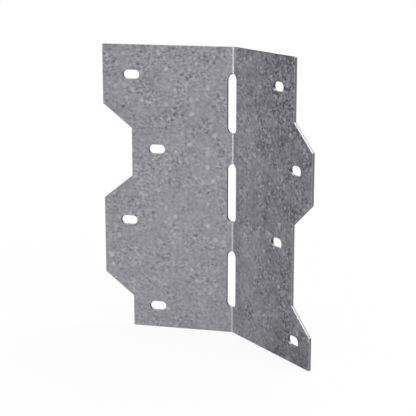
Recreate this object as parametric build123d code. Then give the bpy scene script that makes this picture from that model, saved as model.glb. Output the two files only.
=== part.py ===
"""Reinforcing angle: one galvanised steel sheet, punched flat and folded once along its length.

The Z axis is the heel, the line where the two back faces would meet if the fold had no radius,
and the bottom end stands on Z = 0. The left leg runs along -X with its back face on Y = 0, and
the right leg turns away from it towards -Y. The back looks to +Y, and the hollow side to -Y.
"""

import os
from math import cos, radians, sin, tan

from build123d import *

# The sheet and its fold, in millimetres and degrees. The neutral line's share of the sheet is
# counted from the inside of the fold. Shearing rolls the outline's edge over on the hollow side,
# where the punch breaks the edges of the slots.
length = 123.825
sheet = 1.22
fold_angle = 45.0
inside_radius = 1.0
neutral_share = 0.42
rolled_edge = 0.2
slot_chamfer = 0.15

# The zigzag sides. The wide reach is measured on the hollow side, from the inside corner.
wide_reach = 57.15
step_depth = 12.7
step_rise = 10.31875
bottom_run = 13.49375
upper_run = 20.6375
top_run = 25.4

# The nail slots, one beside each straight run of each side, lying square to the fold.
nail_slot_length = 7.14375
nail_slot_width = 3.96875
nail_margin = 11.1125
top_left_nail_margin = 12.7
bottom_nail_height = 9.525
lower_nail_drop = 9.525
upper_nail_rise = 11.90625
top_nail_drop = 12.7

# The bend slots. Only the bridges between them and at the two ends are left to be folded.
bend_slot_count = 3
bend_slot_width = 5.0
bridge = 13.0
end_bridge = 11.2625

# What the fold does to the blank. A distance from the bend line in the blank comes out shorter
# by fold_take when it is counted from the inside corner, and longer by heel_shift from the heel.
turn = radians(fold_angle)
half_turn = turn / 2
half_allowance = half_turn * (inside_radius + neutral_share * sheet)
fold_take = half_allowance - inside_radius * tan(half_turn)
heel_shift = sheet * tan(half_turn) - fold_take

# The reaches in the blank, and where the runs lie. The lower run takes what the others leave.
blank_wide = wide_reach + fold_take
blank_narrow = blank_wide - step_depth
lower_run_start = bottom_run + step_rise
top_run_start = length - top_run
upper_run_end = top_run_start - step_rise
upper_run_start = upper_run_end - upper_run
lower_run_end = upper_run_start - step_rise

# Enough to carry a tool clear through the sheet, past a tip or over the fold.
clear = 4 * sheet + inside_radius

# Which way the hollow side looks: on the left leg, inside the fold and on the right leg.
hollow_looks = [Vector(-sin(angle), -cos(angle), 0) for angle in (0, half_turn, turn)]

# The legs as they stand after folding, drawn outwards from the heel, and the plane between them.
left_leg = Plane(origin=(0, 0, 0), x_dir=(-1, 0, 0), z_dir=(0, 1, 0))
right_leg = Plane(origin=(0, 0, 0), x_dir=(cos(turn), -sin(turn), 0), z_dir=hollow_looks[-1])
middle = Plane(origin=(0, 0, 0), z_dir=(cos(half_turn), -sin(half_turn), 0))


def run_reaches(wide_at_bottom):
    """Reaches of a leg's bottom and upper runs, then of its lower and top runs.

    One parting line makes both sides, so one leg is wide wherever the other one is narrow.
    """
    if wide_at_bottom:
        return blank_wide, blank_narrow
    return blank_narrow, blank_wide


def side_edge(wide_at_bottom):
    """The zigzag side of one leg from the bottom end to the top, as (reach, height) corners."""
    bottom_and_upper, lower_and_top = run_reaches(wide_at_bottom)
    return [
        (bottom_and_upper, 0),
        (bottom_and_upper, bottom_run),
        (lower_and_top, lower_run_start),
        (lower_and_top, lower_run_end),
        (bottom_and_upper, upper_run_start),
        (bottom_and_upper, upper_run_end),
        (lower_and_top, top_run_start),
        (lower_and_top, length),
    ]


def nail_slots(wide_at_bottom, top_margin):
    """The four nail slots of one leg, each set in from the run of the side beside it."""
    bottom_and_upper, lower_and_top = run_reaches(wide_at_bottom)
    centres = [
        (bottom_and_upper - nail_margin, bottom_nail_height),
        (lower_and_top - nail_margin, lower_run_end - lower_nail_drop),
        (bottom_and_upper - nail_margin, upper_run_start + upper_nail_rise),
        (lower_and_top - top_margin, length - top_nail_drop),
    ]
    return Locations(*centres) * SlotOverall(nail_slot_length, nail_slot_width)


def bend_slots():
    """One leg's half of the bend slots, with ends that run straight on over the fold."""
    bridges = 2 * end_bridge + (bend_slot_count - 1) * bridge
    slot_length = (length - bridges) / bend_slot_count
    slot = SlotOverall(slot_length, bend_slot_width, rotation=90)
    slot += Pos(-clear / 2, 0) * Rectangle(clear, slot_length)
    lowest = end_bridge + slot_length / 2
    pitch = slot_length + bridge
    return [Pos(0, lowest + pitch * index) * slot for index in range(bend_slot_count)]


def punched_leg(wide_at_bottom, top_margin):
    """One leg of the blank with its holes, drawn from the bend line and on over the fold."""
    corners = [(-clear, 0), *side_edge(wide_at_bottom), (-clear, length)]
    leg = make_face(Polyline(*corners, close=True))
    return leg - nail_slots(wide_at_bottom, top_margin) - bend_slots()


def folded_strip():
    """The sheet folded along its whole length, with legs a little longer than the widest run."""
    reach = wide_reach + clear
    tip = Vector(reach * cos(turn), -reach * sin(turn))
    heel_line = FilletPolyline((-reach, 0), (0, 0), tip, radius=inside_radius + sheet)
    inside_corner = (-sheet * tan(half_turn), -sheet)
    hollow_tip = tip + sheet * hollow_looks[-1]
    hollow_line = FilletPolyline((-reach, -sheet), inside_corner, hollow_tip, radius=inside_radius)
    ends = [Line(heel_line @ end, hollow_line @ end) for end in (0, 1)]
    section = make_face([heel_line, hollow_line, *ends])
    return extrude(section, length, dir=(0, 0, 1))


def cut_leg(strip, leg_plane, leg):
    """What the punched leg, set against the heel on its own plane, keeps of the strip."""
    return strip & extrude(leg_plane * Pos(heel_shift, 0) * leg, clear, both=True)


def folded_angle():
    """The strip with each leg cut to its punched outline, joined at the middle of the fold."""
    strip = folded_strip()
    left = cut_leg(strip, left_leg, punched_leg(False, top_left_nail_margin))
    right = cut_leg(strip, right_leg, punched_leg(True, nail_margin))
    return split(left, middle, Keep.BOTTOM) + split(right, middle, Keep.TOP)


def hollow_faces(angle):
    """The hollow face of each leg and the inside of each folded bridge."""
    normals = [(face, face.normal_at(face.center())) for face in angle.faces()]
    left, bridges, right = (
        [face for face, normal in normals if (normal - look).length < 0.01] for look in hollow_looks
    )
    return [max(faces, key=lambda face: face.area) for faces in (left, right)] + bridges


def hollow_rims(angle):
    """The closed loops of edges round the hollow side, every slot's and then the outline's."""
    edges = [edge for face in hollow_faces(angle) for edge in face.edges()]
    outer = [edge for edge in edges if edges.count(edge) == 1]
    loops = Wire.combine(outer).sort_by(SortBy.LENGTH)
    return [[edge for edge in outer if edge in loop.edges()] for loop in loops]


angle = folded_angle()
outline = hollow_rims(angle)[-1]
angle = fillet(outline, rolled_edge)
slots = hollow_rims(angle)[:-1]
angle = chamfer([edge for slot in slots for edge in slot], slot_chamfer)

os.makedirs("parts", exist_ok=True)
export_step(angle, "parts/angle_plate.step")
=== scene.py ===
"""Reinforcing angle: the looks of one punched, folded and galvanised steel sheet.

The sheet is drawn flat as the press would cut it, with the rim that the press leaves round every
cut, and a node tree then folds it. Across the blank runs u, from the bend line towards the right
leg, and up it runs z. Everything is in metres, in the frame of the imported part: the heel is the
Z axis, the left leg's back lies on Y = 0, and the hollow side looks to -Y.
"""

from math import asin, atan2, cos, degrees, pi, radians, sin, tan

import bpy
import numpy as np
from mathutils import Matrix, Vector
from mathutils.geometry import delaunay_2d_cdt


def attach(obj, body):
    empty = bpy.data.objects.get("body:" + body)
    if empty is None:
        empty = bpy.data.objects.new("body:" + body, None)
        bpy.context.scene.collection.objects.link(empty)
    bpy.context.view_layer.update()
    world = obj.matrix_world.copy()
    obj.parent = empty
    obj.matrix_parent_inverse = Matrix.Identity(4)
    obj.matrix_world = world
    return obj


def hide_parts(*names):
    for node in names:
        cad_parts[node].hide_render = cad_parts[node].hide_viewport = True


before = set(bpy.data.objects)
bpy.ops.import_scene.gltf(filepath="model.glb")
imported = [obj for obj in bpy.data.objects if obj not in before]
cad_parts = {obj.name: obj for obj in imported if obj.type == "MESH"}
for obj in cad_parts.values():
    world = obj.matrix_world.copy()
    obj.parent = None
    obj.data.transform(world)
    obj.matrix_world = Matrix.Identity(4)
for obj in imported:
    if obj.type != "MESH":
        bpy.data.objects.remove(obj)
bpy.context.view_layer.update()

MM = 0.001

# The sheet and its fold, as in the part's source.
LENGTH = 123.825 * MM
SHEET = 1.22 * MM
FOLD_ANGLE = radians(45)
INSIDE_RADIUS = 1.0 * MM
NEUTRAL_SHARE = 0.42
HALF_ALLOWANCE = FOLD_ANGLE / 2 * (INSIDE_RADIUS + NEUTRAL_SHARE * SHEET)
FOLD_TAKE = HALF_ALLOWANCE - INSIDE_RADIUS * tan(FOLD_ANGLE / 2)

# The zigzag sides: reaches from the bend line, and the heights where a run starts or ends. The
# wide reach is measured on the hollow side, and the lower run takes what the others leave.
WIDE = 57.15 * MM + FOLD_TAKE
STEP_DEPTH = 12.7 * MM
NARROW = WIDE - STEP_DEPTH
STEP_RISE = 10.31875 * MM
BOTTOM_RUN_END = 13.49375 * MM
UPPER_RUN = 20.6375 * MM
TOP_RUN = 25.4 * MM
LOWER_RUN_START = BOTTOM_RUN_END + STEP_RISE
TOP_RUN_START = LENGTH - TOP_RUN
UPPER_RUN_END = TOP_RUN_START - STEP_RISE
UPPER_RUN_START = UPPER_RUN_END - UPPER_RUN
LOWER_RUN_END = UPPER_RUN_START - STEP_RISE

# The nail slots, and the bend slots with the bridges that are left between them to be folded.
NAIL_SLOT_LENGTH = 7.14375 * MM
NAIL_SLOT_WIDTH = 3.96875 * MM
NAIL_MARGIN = 11.1125 * MM
TOP_LEFT_NAIL_MARGIN = 12.7 * MM
BOTTOM_NAIL_HEIGHT = 9.525 * MM
LOWER_NAIL_DROP = 9.525 * MM
UPPER_NAIL_RISE = 11.90625 * MM
TOP_NAIL_DROP = 12.7 * MM
BEND_SLOT_COUNT = 3
BEND_SLOT_WIDTH = 5.0 * MM
BRIDGE = 13.0 * MM
END_BRIDGE = 11.2625 * MM
BRIDGES = 2 * END_BRIDGE + (BEND_SLOT_COUNT - 1) * BRIDGE
BEND_SLOT_LENGTH = (LENGTH - BRIDGES) / BEND_SLOT_COUNT

# What shearing does to an edge. On the outline the hollow side rolls over, then comes a smooth
# band, and below it the steel has torn away a little towards the back. The slots are the other
# way round: torn open a little towards the hollow side, and rolled over at the back.
ROLL_OVER = 0.2 * MM
SMOOTH_BAND = 0.36 * MM
TEAR_BACK = 0.02 * MM
BACK_BREAK = 0.02 * MM
SLOT_FLARE = 0.11 * MM
SLOT_BREAK = 0.03 * MM
SLOT_PINCH = 0.06 * MM
CORNER_ROUNDING = 0.4 * MM

# The width of face round a cut that is drawn together with its rim.
COLLAR = 0.35 * MM

# How far the rolling of the sheet leaves it out of true, and how far apart its waves are.
WAVINESS = 0.12 * MM
WAVE_LENGTH = 28 * MM

# How finely the flat blank is divided.
OUTLINE_SPACING = 2.0 * MM
NAIL_SLOT_SPACING = 1.0 * MM
FACE_SPACING = 3.0 * MM
BRIDGE_SPACING = 1.0 * MM
FIRST_COLUMN = 2.5 * MM
FOLD_STEPS = 10
ROLL_STEPS = 4
SLOT_END_STEPS = 16
BESIDE_FOLD_STEPS = 6
CORNER_STEP_DEGREES = 12
SMOOTH_UNDER = radians(35)

# What counts as the same point and as the same way in the blank.
SAME_POINT = 1e-7
SAME_WAY = 1e-6


class Value:
    """An output socket that takes arithmetic: each operator adds its Math node to the tree."""

    def __init__(self, maker, socket):
        self.maker = maker
        self.socket = socket

    def __add__(self, other):
        return self.maker.math("ADD", self, other)

    def __radd__(self, other):
        return self.maker.math("ADD", other, self)

    def __sub__(self, other):
        return self.maker.math("SUBTRACT", self, other)

    def __rsub__(self, other):
        return self.maker.math("SUBTRACT", other, self)

    def __mul__(self, other):
        return self.maker.math("MULTIPLY", self, other)

    def __rmul__(self, other):
        return self.maker.math("MULTIPLY", other, self)

    def __truediv__(self, other):
        return self.maker.math("DIVIDE", self, other)

    def __neg__(self):
        return self.maker.math("MULTIPLY", self, -1.0)


class NodeMaker:
    """Adds nodes to one tree. A node's settings are set first, then its sockets."""

    def __init__(self, tree):
        self.tree = tree

    def node(self, kind, settings=None, sockets=None, output=0):
        made = self.tree.nodes.new(kind)
        for name, setting in (settings or {}).items():
            setattr(made, name, setting)
        for name, value in (sockets or {}).items():
            self.feed(made.inputs[name], value)
        return Value(self, made.outputs[output]) if made.outputs else made

    def feed(self, socket, value):
        if isinstance(value, Value):
            self.tree.links.new(value.socket, socket)
        else:
            socket.default_value = value

    def math(self, operation, *values):
        return self.node("ShaderNodeMath", {"operation": operation}, dict(enumerate(values)))

    def limit(self, value, lowest, highest):
        return self.node("ShaderNodeClamp", {}, {"Value": value, "Min": lowest, "Max": highest})

    def ease(self, value, start, end):
        """0 below start and 1 above end, with a soft change between."""
        settings = {"interpolation_type": "SMOOTHSTEP"}
        sockets = {"Value": value, "From Min": start, "From Max": end}
        return self.node("ShaderNodeMapRange", settings, sockets)

    def split(self, vector):
        apart = self.node("ShaderNodeSeparateXYZ", {}, {"Vector": vector}).socket.node
        return [Value(self, socket) for socket in apart.outputs]

    def join(self, x, y, z):
        return self.node("ShaderNodeCombineXYZ", {}, {"X": x, "Y": y, "Z": z})

    def mix_colours(self, share, first, second):
        """The first colour, and the second one instead where the share is 1."""
        return self.node("ShaderNodeMix", {"data_type": "RGBA"}, {0: share, 6: first, 7: second}, 2)

    def noise(self, vector, size, detail=2.0, roughness=0.5, seed=0.0):
        """Cloudy noise whose blotches are about size across."""
        settings = {"noise_dimensions": "4D"}
        sockets = {
            "Vector": vector,
            "W": seed,
            "Scale": 1.0 / size,
            "Detail": detail,
            "Roughness": roughness,
        }
        return self.node("ShaderNodeTexNoise", settings, sockets)


def run_reaches(wide_at_bottom):
    """Reaches of a leg's bottom and upper runs, then of its lower and top runs."""
    return (WIDE, NARROW) if wide_at_bottom else (NARROW, WIDE)


def side_edge(wide_at_bottom):
    """The zigzag side of one leg from the bottom end to the top, as (reach, height) corners."""
    bottom_and_upper, lower_and_top = run_reaches(wide_at_bottom)
    return [
        (bottom_and_upper, 0.0),
        (bottom_and_upper, BOTTOM_RUN_END),
        (lower_and_top, LOWER_RUN_START),
        (lower_and_top, LOWER_RUN_END),
        (bottom_and_upper, UPPER_RUN_START),
        (bottom_and_upper, UPPER_RUN_END),
        (lower_and_top, TOP_RUN_START),
        (lower_and_top, LENGTH),
    ]


def nail_slot_centres():
    """Where the eight nail slots lie in the blank, each set in from the run beside it."""
    centres = []
    legs = ((-1, False, TOP_LEFT_NAIL_MARGIN), (1, True, NAIL_MARGIN))
    for side, wide_at_bottom, top_margin in legs:
        bottom_and_upper, lower_and_top = run_reaches(wide_at_bottom)
        centres += [
            (side * (bottom_and_upper - NAIL_MARGIN), BOTTOM_NAIL_HEIGHT),
            (side * (lower_and_top - NAIL_MARGIN), LOWER_RUN_END - LOWER_NAIL_DROP),
            (side * (bottom_and_upper - NAIL_MARGIN), UPPER_RUN_START + UPPER_NAIL_RISE),
            (side * (lower_and_top - top_margin), LENGTH - TOP_NAIL_DROP),
        ]
    return centres


def fold_columns():
    """The lines along the fold where the blank is divided, with one more clear of it each side."""
    step = 2 * HALF_ALLOWANCE / FOLD_STEPS
    inner = [-HALF_ALLOWANCE + step * index for index in range(FOLD_STEPS + 1)]
    return [inner[0] - 3 * step, *inner, inner[-1] + 3 * step]


def outline_loop():
    """The blank's outline, walked with the sheet on the left: points, and the ways into the sheet."""
    left = [(-reach, height) for reach, height in side_edge(False)]
    corners = [Vector(corner) for corner in side_edge(True) + left[::-1]]
    count = len(corners)
    points = []
    inwards = []
    for index, corner in enumerate(corners):
        before = (corner - corners[index - 1]).normalized()
        after = (corners[(index + 1) % count] - corner).normalized()
        turning = atan2(before.x * after.y - before.y * after.x, before.dot(after))
        side = 1 if turning > 0 else -1
        back_off = CORNER_ROUNDING * tan(abs(turning) / 2)
        inward = Vector((-before.y, before.x))
        centre = corner - before * back_off + inward * CORNER_ROUNDING * side
        steps = max(2, round(abs(degrees(turning)) / CORNER_STEP_DEGREES))
        for step in range(steps + 1):
            angle = turning * step / steps
            way = Vector((
                inward.x * cos(angle) - inward.y * sin(angle),
                inward.x * sin(angle) + inward.y * cos(angle),
            ))
            points.append(centre - way * CORNER_ROUNDING * side)
            inwards.append(way)
    return fill_straights(points, inwards, OUTLINE_SPACING)


def fill_straights(points, inwards, spacing):
    """The same loop with its long straight stretches divided evenly."""
    filled_points = []
    filled_inwards = []
    for index, point in enumerate(points):
        following = (index + 1) % len(points)
        filled_points.append(point)
        filled_inwards.append(inwards[index])
        gap = points[following] - point
        if (inwards[following] - inwards[index]).length > SAME_WAY:
            continue
        parts = max(1, round(gap.length / spacing))
        for part in range(1, parts):
            filled_points.append(point + gap * part / parts)
            filled_inwards.append(inwards[index])
    return filled_points, filled_inwards


def slot_loop(centre, half_reach, radius, upright, end_angles, spacing):
    """A round-ended slot, walked with the sheet on the left. The angles go round one of its ends."""
    centre = Vector(centre)
    along = Vector((0, 1)) if upright else Vector((1, 0))
    across = Vector((-1, 0)) if upright else Vector((0, 1))
    points = []
    inwards = []
    for end in (1, -1):
        for angle in end_angles:
            way = (along * cos(angle) - across * sin(angle)) * end
            points.append(centre + along * half_reach * end + way * radius)
            inwards.append(way)
    return fill_straights(points, inwards, spacing)


def nail_slot_loops():
    """The nail slots, lying square to the fold."""
    radius = NAIL_SLOT_WIDTH / 2
    half_reach = NAIL_SLOT_LENGTH / 2 - radius
    angles = [-pi / 2 + pi * step / SLOT_END_STEPS for step in range(SLOT_END_STEPS + 1)]
    return [
        slot_loop(centre, half_reach, radius, False, angles, NAIL_SLOT_SPACING)
        for centre in nail_slot_centres()
    ]


def bend_slot_loops():
    """The bend slots, with their ends divided where the fold is."""
    radius = BEND_SLOT_WIDTH / 2
    half_reach = BEND_SLOT_LENGTH / 2 - radius
    over_fold = [asin(column / radius) for column in fold_columns()]
    step = (pi / 2 - over_fold[-1]) / BESIDE_FOLD_STEPS
    beside = [over_fold[-1] + step * (index + 1) for index in range(BESIDE_FOLD_STEPS)]
    angles = [-angle for angle in beside[::-1]] + over_fold + beside
    lowest = END_BRIDGE + BEND_SLOT_LENGTH / 2
    pitch = BEND_SLOT_LENGTH + BRIDGE
    return [
        slot_loop((0, lowest + pitch * index), half_reach, radius, True, angles, OUTLINE_SPACING)
        for index in range(BEND_SLOT_COUNT)
    ]


def distance_to_loops(points, loops):
    """How far each point is from the nearest stretch of any loop."""
    nearest = np.full(len(points), np.inf)
    for corners, _ in loops:
        starts = np.array(corners)
        ends = np.roll(starts, -1, axis=0)
        spans = ends - starts
        for start, span in zip(starts, spans):
            share = np.clip((points - start) @ span / (span @ span), 0, 1)
            away = points - start - share[:, None] * span
            nearest = np.minimum(nearest, np.hypot(away[:, 0], away[:, 1]))
    return nearest


def inside(points, corners):
    """Whether each point lies inside a closed loop."""
    starts = np.array(corners)
    ends = np.roll(starts, -1, axis=0)
    crossings = np.zeros(len(points), int)
    for (u, z), (next_u, next_z) in zip(starts, ends):
        straddles = (z > points[:, 1]) != (next_z > points[:, 1])
        rise = next_z - z if next_z != z else 1.0
        crossing = u + (points[:, 1] - z) * (next_u - u) / rise
        crossings += straddles & (points[:, 0] < crossing)
    return crossings % 2 == 1


def spread(first, last, spacing):
    """Evenly spaced values from first to last."""
    return np.linspace(first, last, max(2, round((last - first) / spacing) + 1))


def face_points(loops):
    """Points that divide the flat faces, closer together along the fold."""
    columns = np.concatenate([
        -spread(FIRST_COLUMN, WIDE, FACE_SPACING),
        spread(FIRST_COLUMN, WIDE, FACE_SPACING),
    ])
    legs = np.array([(u, z) for u in columns for z in spread(0, LENGTH, FACE_SPACING)])
    folds = np.array([(u, z) for u in fold_columns() for z in spread(0, LENGTH, BRIDGE_SPACING)])
    clearances = ((legs, FACE_SPACING * 0.45), (folds, BRIDGE_SPACING * 0.6))
    kept = [points[distance_to_loops(points, loops) > clear] for points, clear in clearances]
    points = np.concatenate(kept)
    keep = inside(points, loops[0][0])
    for corners, _ in loops[1:]:
        keep &= ~inside(points, corners)
    return points[keep]


def offset(loop, distance):
    """The loop moved into the sheet by a distance."""
    points, inwards = loop
    return [point + inward * distance for point, inward in zip(points, inwards)]


def rolled_over():
    """The section of a rolled edge from the face to the wall, as (distance in, depth) pairs."""
    angles = [pi / 2 * step / ROLL_STEPS for step in range(ROLL_STEPS + 1)]
    return [(ROLL_OVER * (1 - sin(angle)), ROLL_OVER * (1 - cos(angle))) for angle in angles]


def outline_rim():
    """The section of the outline's edge as (distance into the sheet, depth under the hollow face).

    The third value says whether the band that starts there is bare cut steel.
    """
    rolled = [(inset, depth, False) for inset, depth in rolled_over()[:-1]]
    return [
        (COLLAR, 0.0, False),
        *rolled,
        (0.0, ROLL_OVER, True),
        (0.0, ROLL_OVER + SMOOTH_BAND, True),
        (TEAR_BACK, SHEET - BACK_BREAK, True),
        (TEAR_BACK + BACK_BREAK, SHEET, False),
        (COLLAR, SHEET, False),
    ]


def slot_rim():
    """The section of a slot's edge, given like the outline's but the other way round."""
    rolled = [(inset - SLOT_PINCH, SHEET - depth, False) for inset, depth in rolled_over()[::-1]]
    return [
        (COLLAR, 0.0, False),
        (SLOT_FLARE + SLOT_BREAK, 0.0, False),
        (SLOT_FLARE, SLOT_BREAK, True),
        (0.0, (ROLL_OVER + SMOOTH_BAND) / 2, True),
        (-SLOT_PINCH, ROLL_OVER + SMOOTH_BAND, True),
        *rolled,
        (COLLAR, SHEET, False),
    ]


def painted_wall_shading(loop):
    """How much painted shade a slot's wall gets beside each point of its loop.

    The walls that face right are painted dark, as painted shade and a painted dark reflection, and on
    the right leg only where they face straight right.
    """
    points, inwards = loop
    faces_right = [-inward.x for inward in inwards]
    on_right_leg = min(point.x for point in points) > 0
    painted_shade_range = (0.88, 0.98) if on_right_leg else (0.3, 0.7)
    return np.interp(faces_right, painted_shade_range, (0.0, 1.0))


def filled_face(loops):
    """The flat face between the collars of the loops, as points and triangles.

    The third value tells which point each collar's own point has become.
    """
    collars = [offset(loop, COLLAR) for loop in loops]
    flat = [tuple(point) for collar in collars for point in collar]
    borders = []
    for collar in collars:
        first = len(borders)
        size = len(collar)
        borders += [(first + index, first + (index + 1) % size) for index in range(size)]
    flat += [tuple(point) for point in face_points(loops)]
    only_inside = 1
    points, _, triangles, sources, _, _ = delaunay_2d_cdt(
        [Vector(point) for point in flat], borders, [], only_inside, SAME_POINT
    )
    place = {source: index for index, group in enumerate(sources) for source in group}
    corners = [[points[index] for index in triangle] for triangle in triangles]
    middles = np.array([sum(three, Vector((0, 0))) / 3 for three in corners])
    keep = np.ones(len(triangles), bool)
    for collar in collars[1:]:
        keep &= ~inside(middles, collar)
    return points, [triangle for triangle, kept in zip(triangles, keep) if kept], place


def flat_blank():
    """The punched blank as a closed mesh, hollow side to -Y.

    Each face is marked as cut or not, as a slot's or not, and with how much painted shade its wall
    gets.
    """
    loops = [outline_loop(), *nail_slot_loops(), *bend_slot_loops()]
    points, triangles, place = filled_face(loops)
    count = len(points)
    vertices = [(point.x, -SHEET, point.y) for point in points]
    vertices += [(point.x, 0.0, point.y) for point in points]
    faces = []
    for a, b, c in triangles:
        turned = (points[b] - points[a]).cross(points[c] - points[a]) < 0
        hollow = (a, c, b) if turned else (a, b, c)
        faces.append(hollow)
        faces.append(tuple(count + index for index in hollow[::-1]))
    cut = [False] * len(faces)
    painted_wall_shade = [0.0] * len(faces)
    slot = [0.0] * len(faces)
    first = 0
    for loop in loops:
        size = len(loop[0])
        is_slot = loop is not loops[0]
        profile = slot_rim() if is_slot else outline_rim()
        painted_shade_amounts = painted_wall_shading(loop) if is_slot else np.zeros(size)
        rows = [[place[first + index] for index in range(size)]]
        for inset, depth, _ in profile[1:-1]:
            rows.append(list(range(len(vertices), len(vertices) + size)))
            vertices += [(point.x, depth - SHEET, point.y) for point in offset(loop, inset)]
        rows.append([count + place[first + index] for index in range(size)])
        first += size
        for (_, _, is_cut), upper, lower in zip(profile, rows, rows[1:]):
            for index in range(size):
                following = (index + 1) % size
                faces.append((upper[index], lower[index], lower[following], upper[following]))
                cut.append(is_cut)
                painted_wall_shade.append((painted_shade_amounts[index] + painted_shade_amounts[following]) / 2)
                slot.append(float(is_slot))
    mesh = bpy.data.meshes.new("flat_blank")
    mesh.from_pydata(vertices, [], faces)
    mesh.attributes.new("cut", "BOOLEAN", "FACE").data.foreach_set("value", cut)
    mesh.attributes.new("painted_wall_shade", "FLOAT", "FACE").data.foreach_set("value", painted_wall_shade)
    mesh.attributes.new("slot", "FLOAT", "FACE").data.foreach_set("value", slot)
    mesh.validate()
    return mesh


def fold_tree():
    """A node tree that folds a flat blank along its bend line and gives it its two finishes."""
    tree = bpy.data.node_groups.new("fold_blank", "GeometryNodeTree")
    interface = tree.interface
    interface.new_socket("Blank", in_out="INPUT", socket_type="NodeSocketGeometry")
    for name in ("Fold angle", "Sheet", "Inside radius", "Neutral share", "Waviness", "Seed"):
        interface.new_socket(name, in_out="INPUT", socket_type="NodeSocketFloat")
    for name in ("Sheet finish", "Cut finish"):
        interface.new_socket(name, in_out="INPUT", socket_type="NodeSocketMaterial")
    interface.new_socket("Angle", in_out="OUTPUT", socket_type="NodeSocketGeometry")
    make = NodeMaker(tree)
    given = make.node("NodeGroupInput").socket.node
    entry = {socket.name: Value(make, socket) for socket in given.outputs if socket.name}

    position = make.node("GeometryNodeInputPosition")
    u, y, z = make.split(position)
    outside_radius = entry["Inside radius"] + entry["Sheet"]
    neutral_radius = entry["Inside radius"] + entry["Neutral share"] * entry["Sheet"]
    half_turn = entry["Fold angle"] / 2
    half_allowance = half_turn * neutral_radius
    in_fold = make.limit(u, -half_allowance, half_allowance)
    past_fold = u - in_fold
    turned = half_turn + in_fold / neutral_radius
    ripple = make.noise(make.join(u, 0.0, z), WAVE_LENGTH, detail=1.0, seed=entry["Seed"]) - 0.5
    radius = outside_radius + y + ripple * entry["Waviness"]
    sine = make.math("SINE", turned)
    cosine = make.math("COSINE", turned)
    x = radius * sine + past_fold * cosine - outside_radius * make.math("TANGENT", half_turn)
    folded_y = radius * cosine - past_fold * sine - outside_radius
    place = make.join(x, folded_y, z)

    kept = make.node(
        "GeometryNodeStoreNamedAttribute",
        {"data_type": "FLOAT_VECTOR", "domain": "POINT"},
        {"Geometry": entry["Blank"], "Name": "blank", "Value": position},
    )
    folded = make.node("GeometryNodeSetPosition", {}, {"Geometry": kept, "Position": place})
    whole = make.node("GeometryNodeRealizeInstances", {}, {"Geometry": folded})
    coated = make.node(
        "GeometryNodeSetMaterial", {}, {"Geometry": whole, "Material": entry["Sheet finish"]}
    )
    cut = make.node("GeometryNodeInputNamedAttribute", {"data_type": "BOOLEAN"}, {"Name": "cut"})
    finished = make.node(
        "GeometryNodeSetMaterial",
        {},
        {"Geometry": coated, "Selection": cut, "Material": entry["Cut finish"]},
    )
    make.node("NodeGroupOutput", {}, {"Angle": finished})
    return tree


def folded_angle(sheet_finish, cut_finish):
    """The blank folded by its node tree into a plain mesh."""
    flat = bpy.data.objects.new("flat_blank", flat_blank())
    bpy.context.scene.collection.objects.link(flat)
    fold = flat.modifiers.new("fold", "NODES")
    fold.node_group = fold_tree()
    values = {
        "Fold angle": FOLD_ANGLE,
        "Sheet": SHEET,
        "Inside radius": INSIDE_RADIUS,
        "Neutral share": NEUTRAL_SHARE,
        "Waviness": WAVINESS,
        "Seed": 3.0,
        "Sheet finish": sheet_finish,
        "Cut finish": cut_finish,
    }
    for item in fold.node_group.interface.items_tree:
        if item.in_out == "INPUT" and item.name in values:
            fold[item.identifier] = values[item.name]
    bpy.context.view_layer.update()
    evaluated = flat.evaluated_get(bpy.context.evaluated_depsgraph_get())
    mesh = bpy.data.meshes.new_from_object(evaluated)
    mesh.name = "galvanised_angle"
    bpy.data.objects.remove(flat)
    mesh.shade_smooth()
    mesh.set_sharp_from_angle(angle=SMOOTH_UNDER)
    angle = bpy.data.objects.new("galvanised_angle", mesh)
    bpy.context.scene.collection.objects.link(angle)
    return angle


def new_material(name):
    """An empty material and the maker of its nodes."""
    material = bpy.data.materials.new(name)
    material.use_nodes = True
    material.node_tree.nodes.clear()
    return material, NodeMaker(material.node_tree)


def zinc_texture(make, blank):
    """The zinc's own texture: its tone around zero, its mottle, its dark pits and its height."""
    u, y, z = make.split(blank)
    drawn_out = make.join(u * 0.84, y, z)
    cloud = make.noise(blank, 12 * MM, seed=1.0)
    mottle = make.noise(blank, 4.5 * MM, seed=2.0)
    grain = make.noise(drawn_out, 1.27 * MM, detail=1.0, seed=3.0)
    grainy = make.ease(make.noise(blank, 9 * MM, detail=1.0, seed=8.0), 0.4, 0.6)
    patchy = 0.4 + grainy * 0.6
    specks = make.noise(drawn_out, 1.0 * MM, detail=0.0, seed=4.0)
    pits = make.ease(specks, 0.6, 0.72) * patchy
    flecks = make.ease(1 - specks, 0.6, 0.72) * patchy

    # Pale round blooms, in some of the cells only.
    cells = make.node("ShaderNodeTexVoronoi", {}, {"Vector": blank, "Scale": 1 / (3.6 * MM)})
    cell = cells.socket.node.outputs
    chosen = make.ease(make.split(Value(make, cell["Color"]))[0], 0.5, 0.9)
    bloom = (1 - make.ease(Value(make, cell["Distance"]), 0.2, 0.36)) * chosen

    # Faint curved marks where other sheets have rubbed, round a point up beside the left leg.
    sweep = make.node(
        "ShaderNodeVectorMath",
        {"operation": "DISTANCE"},
        {0: blank, 1: (-75 * MM, 0.0, 150 * MM)},
        "Value",
    )
    rubbed = make.ease(make.noise(blank, 22 * MM, detail=1.0, seed=9.0), 0.5, 0.62)
    streaks = make.noise(make.join(sweep, z * 0.02, 0.0), 1.6 * MM, detail=1.0, seed=10.0)
    marks = make.ease(streaks, 0.6, 0.72) * rubbed

    tone = (
        (cloud - 0.5) * 0.26
        + (mottle - 0.5) * 0.5
        + (grain - 0.5) * (0.64 + grainy * 0.44)
        + bloom * 0.28
        + flecks * 0.22
        - pits * 0.17
        - marks * 0.12
    )
    height = grain * 0.5 + mottle * 0.8 - pits * 0.6
    return tone, mottle, pits, height


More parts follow.
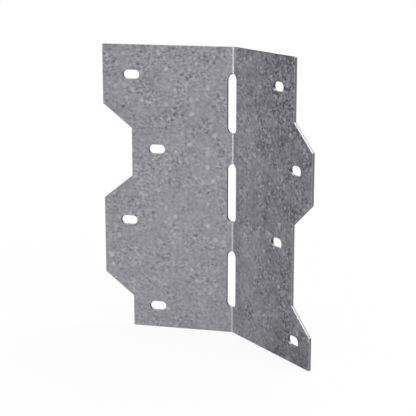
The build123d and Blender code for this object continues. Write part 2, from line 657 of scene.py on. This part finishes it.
def galvanised_sheet():
    """Zinc from the hot bath: smooth and grainy patches, dark pits, pale flecks and blooms."""
    dark_zinc = (0.2, 0.197, 0.217, 1)
    pale_zinc = (0.72, 0.71, 0.77, 1)
    burnish_and_highlight_zinc = (0.87, 0.86, 0.89, 1)
    material, make = new_material("galvanised_sheet")
    blank = make.node("ShaderNodeAttribute", {"attribute_name": "blank"}, output="Vector")
    u, y, z = make.split(blank)
    texture, mottle, pits, height = zinc_texture(make, blank)

    # Each leg's tone is painted darker or lighter along it as painted shade: on the right leg darker
    # outwards and at the foot, on both legs darker upwards. The mottle is stronger on the right leg
    # and upwards.
    right_leg = make.ease(u, 0.0, 5 * MM)
    left_leg = 1 - right_leg
    rise = z / LENGTH
    foot = 1 - make.ease(z, 3 * MM, 22 * MM)
    upper_left = make.ease(-u, 15 * MM, 50 * MM) * make.ease(z, 40 * MM, 80 * MM)
    painted_leg_shade = (
        left_leg * (0.1 - rise * 0.16 - upper_left * 0.04)
        + right_leg * (0.2 - rise * 0.07 - foot * 0.11)
        - 0.31 * make.ease(u, 4 * MM, 42 * MM)
    )
    tone = 0.482 + painted_leg_shade + texture * (1 + right_leg * (0.25 + rise * 0.5))
    colour = make.mix_colours(make.limit(tone, 0.0, 1.0), dark_zinc, pale_zinc)

    # The fold is painted bright, partly for its stretched zinc and partly as a painted highlight: a
    # line inside it, set off a little to the right, and softer at the back.
    depth = y + SHEET
    hollow_side = 1 - make.limit(depth / SHEET, 0.0, 1.0)
    from_line = make.math("ABSOLUTE", u - hollow_side * (0.3 * MM))
    full_within = HALF_ALLOWANCE * 1.1 * (0.3 + hollow_side * 0.7)
    fold_stretch_and_highlight = 1 - make.ease(from_line, full_within, HALF_ALLOWANCE * 1.6)
    fold_stretch_and_highlight = fold_stretch_and_highlight * (0.4 + hollow_side * 0.6)
    colour = make.mix_colours(fold_stretch_and_highlight * 0.9, colour, burnish_and_highlight_zinc)

    # The outline's rolled-over edge is painted brighter than the face too, partly for burnished zinc
    # and partly as a painted highlight.
    rolled = make.ease(depth, 0.01 * MM, 0.06 * MM) * (1 - make.ease(depth, 0.3 * MM, 0.6 * MM))
    colour = make.mix_colours(rolled * 0.35, colour, burnish_and_highlight_zinc)

    roughness = 0.5 + (mottle - 0.5) * 0.25 + pits * 0.12 - fold_stretch_and_highlight * 0.22 - rolled * 0.1
    bump = make.node(
        "ShaderNodeBump", {}, {"Height": height, "Strength": 1.0, "Distance": 0.07 * MM}
    )
    surface = make.node(
        "ShaderNodeBsdfPrincipled",
        {},
        {"Base Color": colour, "Roughness": roughness, "Metallic": 1.0, "Normal": bump},
    )
    make.node("ShaderNodeOutputMaterial", {}, {"Surface": surface})
    return material


def sheared_steel():
    """Bare cut steel: a smooth band, and torn metal behind it, or in front of it in a slot."""
    smooth_dark = (0.33, 0.33, 0.335, 1)
    smooth_pale = (0.43, 0.43, 0.44, 1)
    torn_dark = (0.4, 0.4, 0.405, 1)
    torn_pale = (0.56, 0.56, 0.565, 1)
    painted_shade_black = (0.04, 0.04, 0.04, 1)
    material, make = new_material("sheared_steel")
    blank = make.node("ShaderNodeAttribute", {"attribute_name": "blank"}, output="Vector")
    slot = make.node("ShaderNodeAttribute", {"attribute_name": "slot"}, output="Fac")
    painted_wall_shade = make.node("ShaderNodeAttribute", {"attribute_name": "painted_wall_shade"}, output="Fac")
    u, y, z = make.split(blank)
    depth = y + SHEET
    band_end = ROLL_OVER + SMOOTH_BAND
    soft_end = 0.08 * MM
    torn = make.ease(depth, band_end - soft_end, band_end + soft_end)
    torn = torn + (1 - torn * 2) * slot
    drag = make.noise(make.join(u, y * 0.15, z), 0.35 * MM, roughness=0.6, seed=6.0)
    tear = make.noise(blank, 0.25 * MM, detail=3.0, roughness=0.7, seed=7.0)
    smooth_colour = make.mix_colours(drag, smooth_dark, smooth_pale)
    torn_colour = make.mix_colours(tear, torn_dark, torn_pale)
    colour = make.mix_colours(torn, smooth_colour, torn_colour)
    # Slot walls that face right are painted near black: painted shade and a painted dark reflection,
    # strongest on the torn band.
    colour = make.mix_colours(painted_wall_shade * (0.5 + torn * 0.25), colour, painted_shade_black)
    roughness = 0.4 + torn * 0.25 + (drag - 0.5) * 0.15
    height = drag * (1 - torn) * 0.5 + tear * torn
    bump = make.node(
        "ShaderNodeBump", {}, {"Height": height, "Strength": 0.5, "Distance": 0.03 * MM}
    )
    surface = make.node(
        "ShaderNodeBsdfPrincipled",
        {},
        {
            "Base Color": colour,
            "Roughness": roughness,
            "Metallic": 1.0,
            "Specular Tint": (0.02, 0.02, 0.02, 1),
            "Normal": bump,
        },
    )
    make.node("ShaderNodeOutputMaterial", {}, {"Surface": surface})
    return material


def floor_material():
    """A floor that the camera sees as white, with a faint shadow near the object.

    The sheet is lit by a grey floor, and mirrors one that is part white.
    """
    shadow_strength = 0.08
    white_in_mirror = 0.39
    material, make = new_material("plain_floor")
    place = make.node("ShaderNodeTexCoord", output="Object")
    away = make.node("ShaderNodeVectorMath", {"operation": "LENGTH"}, {0: place}, "Value")
    path = make.node("ShaderNodeLightPath").socket.node
    seen = Value(make, path.outputs["Is Camera Ray"])
    mirrored = Value(make, path.outputs["Is Glossy Ray"])
    shadow_share = shadow_strength * (1 - make.ease(away, 0.12, 0.3))
    lit_white = make.node("ShaderNodeBsdfDiffuse", {}, {"Color": (0.95, 0.95, 0.95, 1)})
    lit_grey = make.node("ShaderNodeBsdfDiffuse", {}, {"Color": (0.35, 0.35, 0.35, 1)})
    lit = make.node("ShaderNodeMixShader", {}, {0: seen, 1: lit_grey, 2: lit_white})
    white = make.node("ShaderNodeEmission", {}, {"Color": (1, 1, 1, 1), "Strength": 1.0})
    share = seen * (1 - shadow_share) + mirrored * white_in_mirror
    surface = make.node("ShaderNodeMixShader", {}, {0: share, 1: lit, 2: white})
    make.node("ShaderNodeOutputMaterial", {}, {"Surface": surface})
    return material


def plain_floor():
    """A wide flat floor at the object's foot."""
    reach = 6.0
    mesh = bpy.data.meshes.new("plain_floor")
    corners = [(-reach, -reach, 0), (reach, -reach, 0), (reach, reach, 0), (-reach, reach, 0)]
    mesh.from_pydata(corners, [], [(0, 1, 2, 3)])
    mesh.materials.append(floor_material())
    floor = bpy.data.objects.new("plain_floor", mesh)
    bpy.context.scene.collection.objects.link(floor)


def studio_world():
    """An even dim room, which the camera sees as white and the sheet mirrors a little."""
    white_in_mirror = 0.08
    world = bpy.data.worlds.new("studio")
    world.use_nodes = True
    world.node_tree.nodes.clear()
    make = NodeMaker(world.node_tree)
    path = make.node("ShaderNodeLightPath").socket.node
    seen = Value(make, path.outputs["Is Camera Ray"])
    mirrored = Value(make, path.outputs["Is Glossy Ray"])
    share = seen + mirrored * white_in_mirror
    room = make.node("ShaderNodeBackground", {}, {"Color": (1, 1, 1, 1), "Strength": 0.05})
    white = make.node("ShaderNodeBackground", {}, {"Color": (1, 1, 1, 1), "Strength": 1.0})
    surface = make.node("ShaderNodeMixShader", {}, {0: share, 1: room, 2: white})
    make.node("ShaderNodeOutputWorld", {}, {"Surface": surface})
    bpy.context.scene.world = world


def soft_lamp(name, *, azimuth, elevation, distance, width, height, radiance):
    """A rectangular soft lamp that looks at the object. Azimuth 0 is in front, 90 at the right."""
    middle = Vector((-8 * MM, -10 * MM, LENGTH / 2))
    round_it = radians(azimuth)
    above = radians(elevation)
    towards = Vector((sin(round_it) * cos(above), -cos(round_it) * cos(above), sin(above)))
    light = bpy.data.lights.new(name, "AREA")
    light.shape = "RECTANGLE"
    light.size = width
    light.size_y = height
    light.energy = radiance * pi * width * height
    lamp = bpy.data.objects.new(name, light)
    lamp.location = middle + towards * distance
    lamp.rotation_mode = "QUATERNION"
    lamp.rotation_quaternion = towards.to_track_quat("Z", "Y")
    bpy.context.scene.collection.objects.link(lamp)


def studio_lamps():
    """A wide lamp overhead, a small one at the left, a low one in front and one for the back."""
    soft_lamp(
        "overhead_lamp", azimuth=80, elevation=78, distance=1.1, width=1.3, height=1.3, radiance=2.55
    )
    soft_lamp(
        "left_lamp", azimuth=-66, elevation=10, distance=0.3, width=0.16, height=0.2, radiance=0.75
    )
    soft_lamp(
        "front_lamp", azimuth=-14, elevation=6, distance=1.3, width=0.9, height=0.34, radiance=2.05
    )
    soft_lamp(
        "back_lamp", azimuth=160, elevation=52, distance=1.2, width=1.0, height=0.8, radiance=1.6
    )


def photo_camera():
    """The camera where the photograph was taken from."""
    data = bpy.data.cameras.new("photo_camera")
    data.sensor_width = 36
    data.lens = 111.192
    data.clip_start = 0.01
    data.clip_end = 100
    camera = bpy.data.objects.new("photo_camera", data)
    camera.location = (0.118549, -0.520412, 0.178386)
    aim = Vector((-0.010343, -0.005135, 0.055802))
    camera.rotation_mode = "QUATERNION"
    camera.rotation_quaternion = (aim - camera.location).to_track_quat("-Z", "Y")
    bpy.context.scene.collection.objects.link(camera)
    bpy.context.scene.camera = camera


photo_camera()
bpy.context.scene.view_settings.view_transform = "Standard"
studio_world()
studio_lamps()
plain_floor()

angle = folded_angle(galvanised_sheet(), sheared_steel())
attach(angle, "root")
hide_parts("angle_plate")
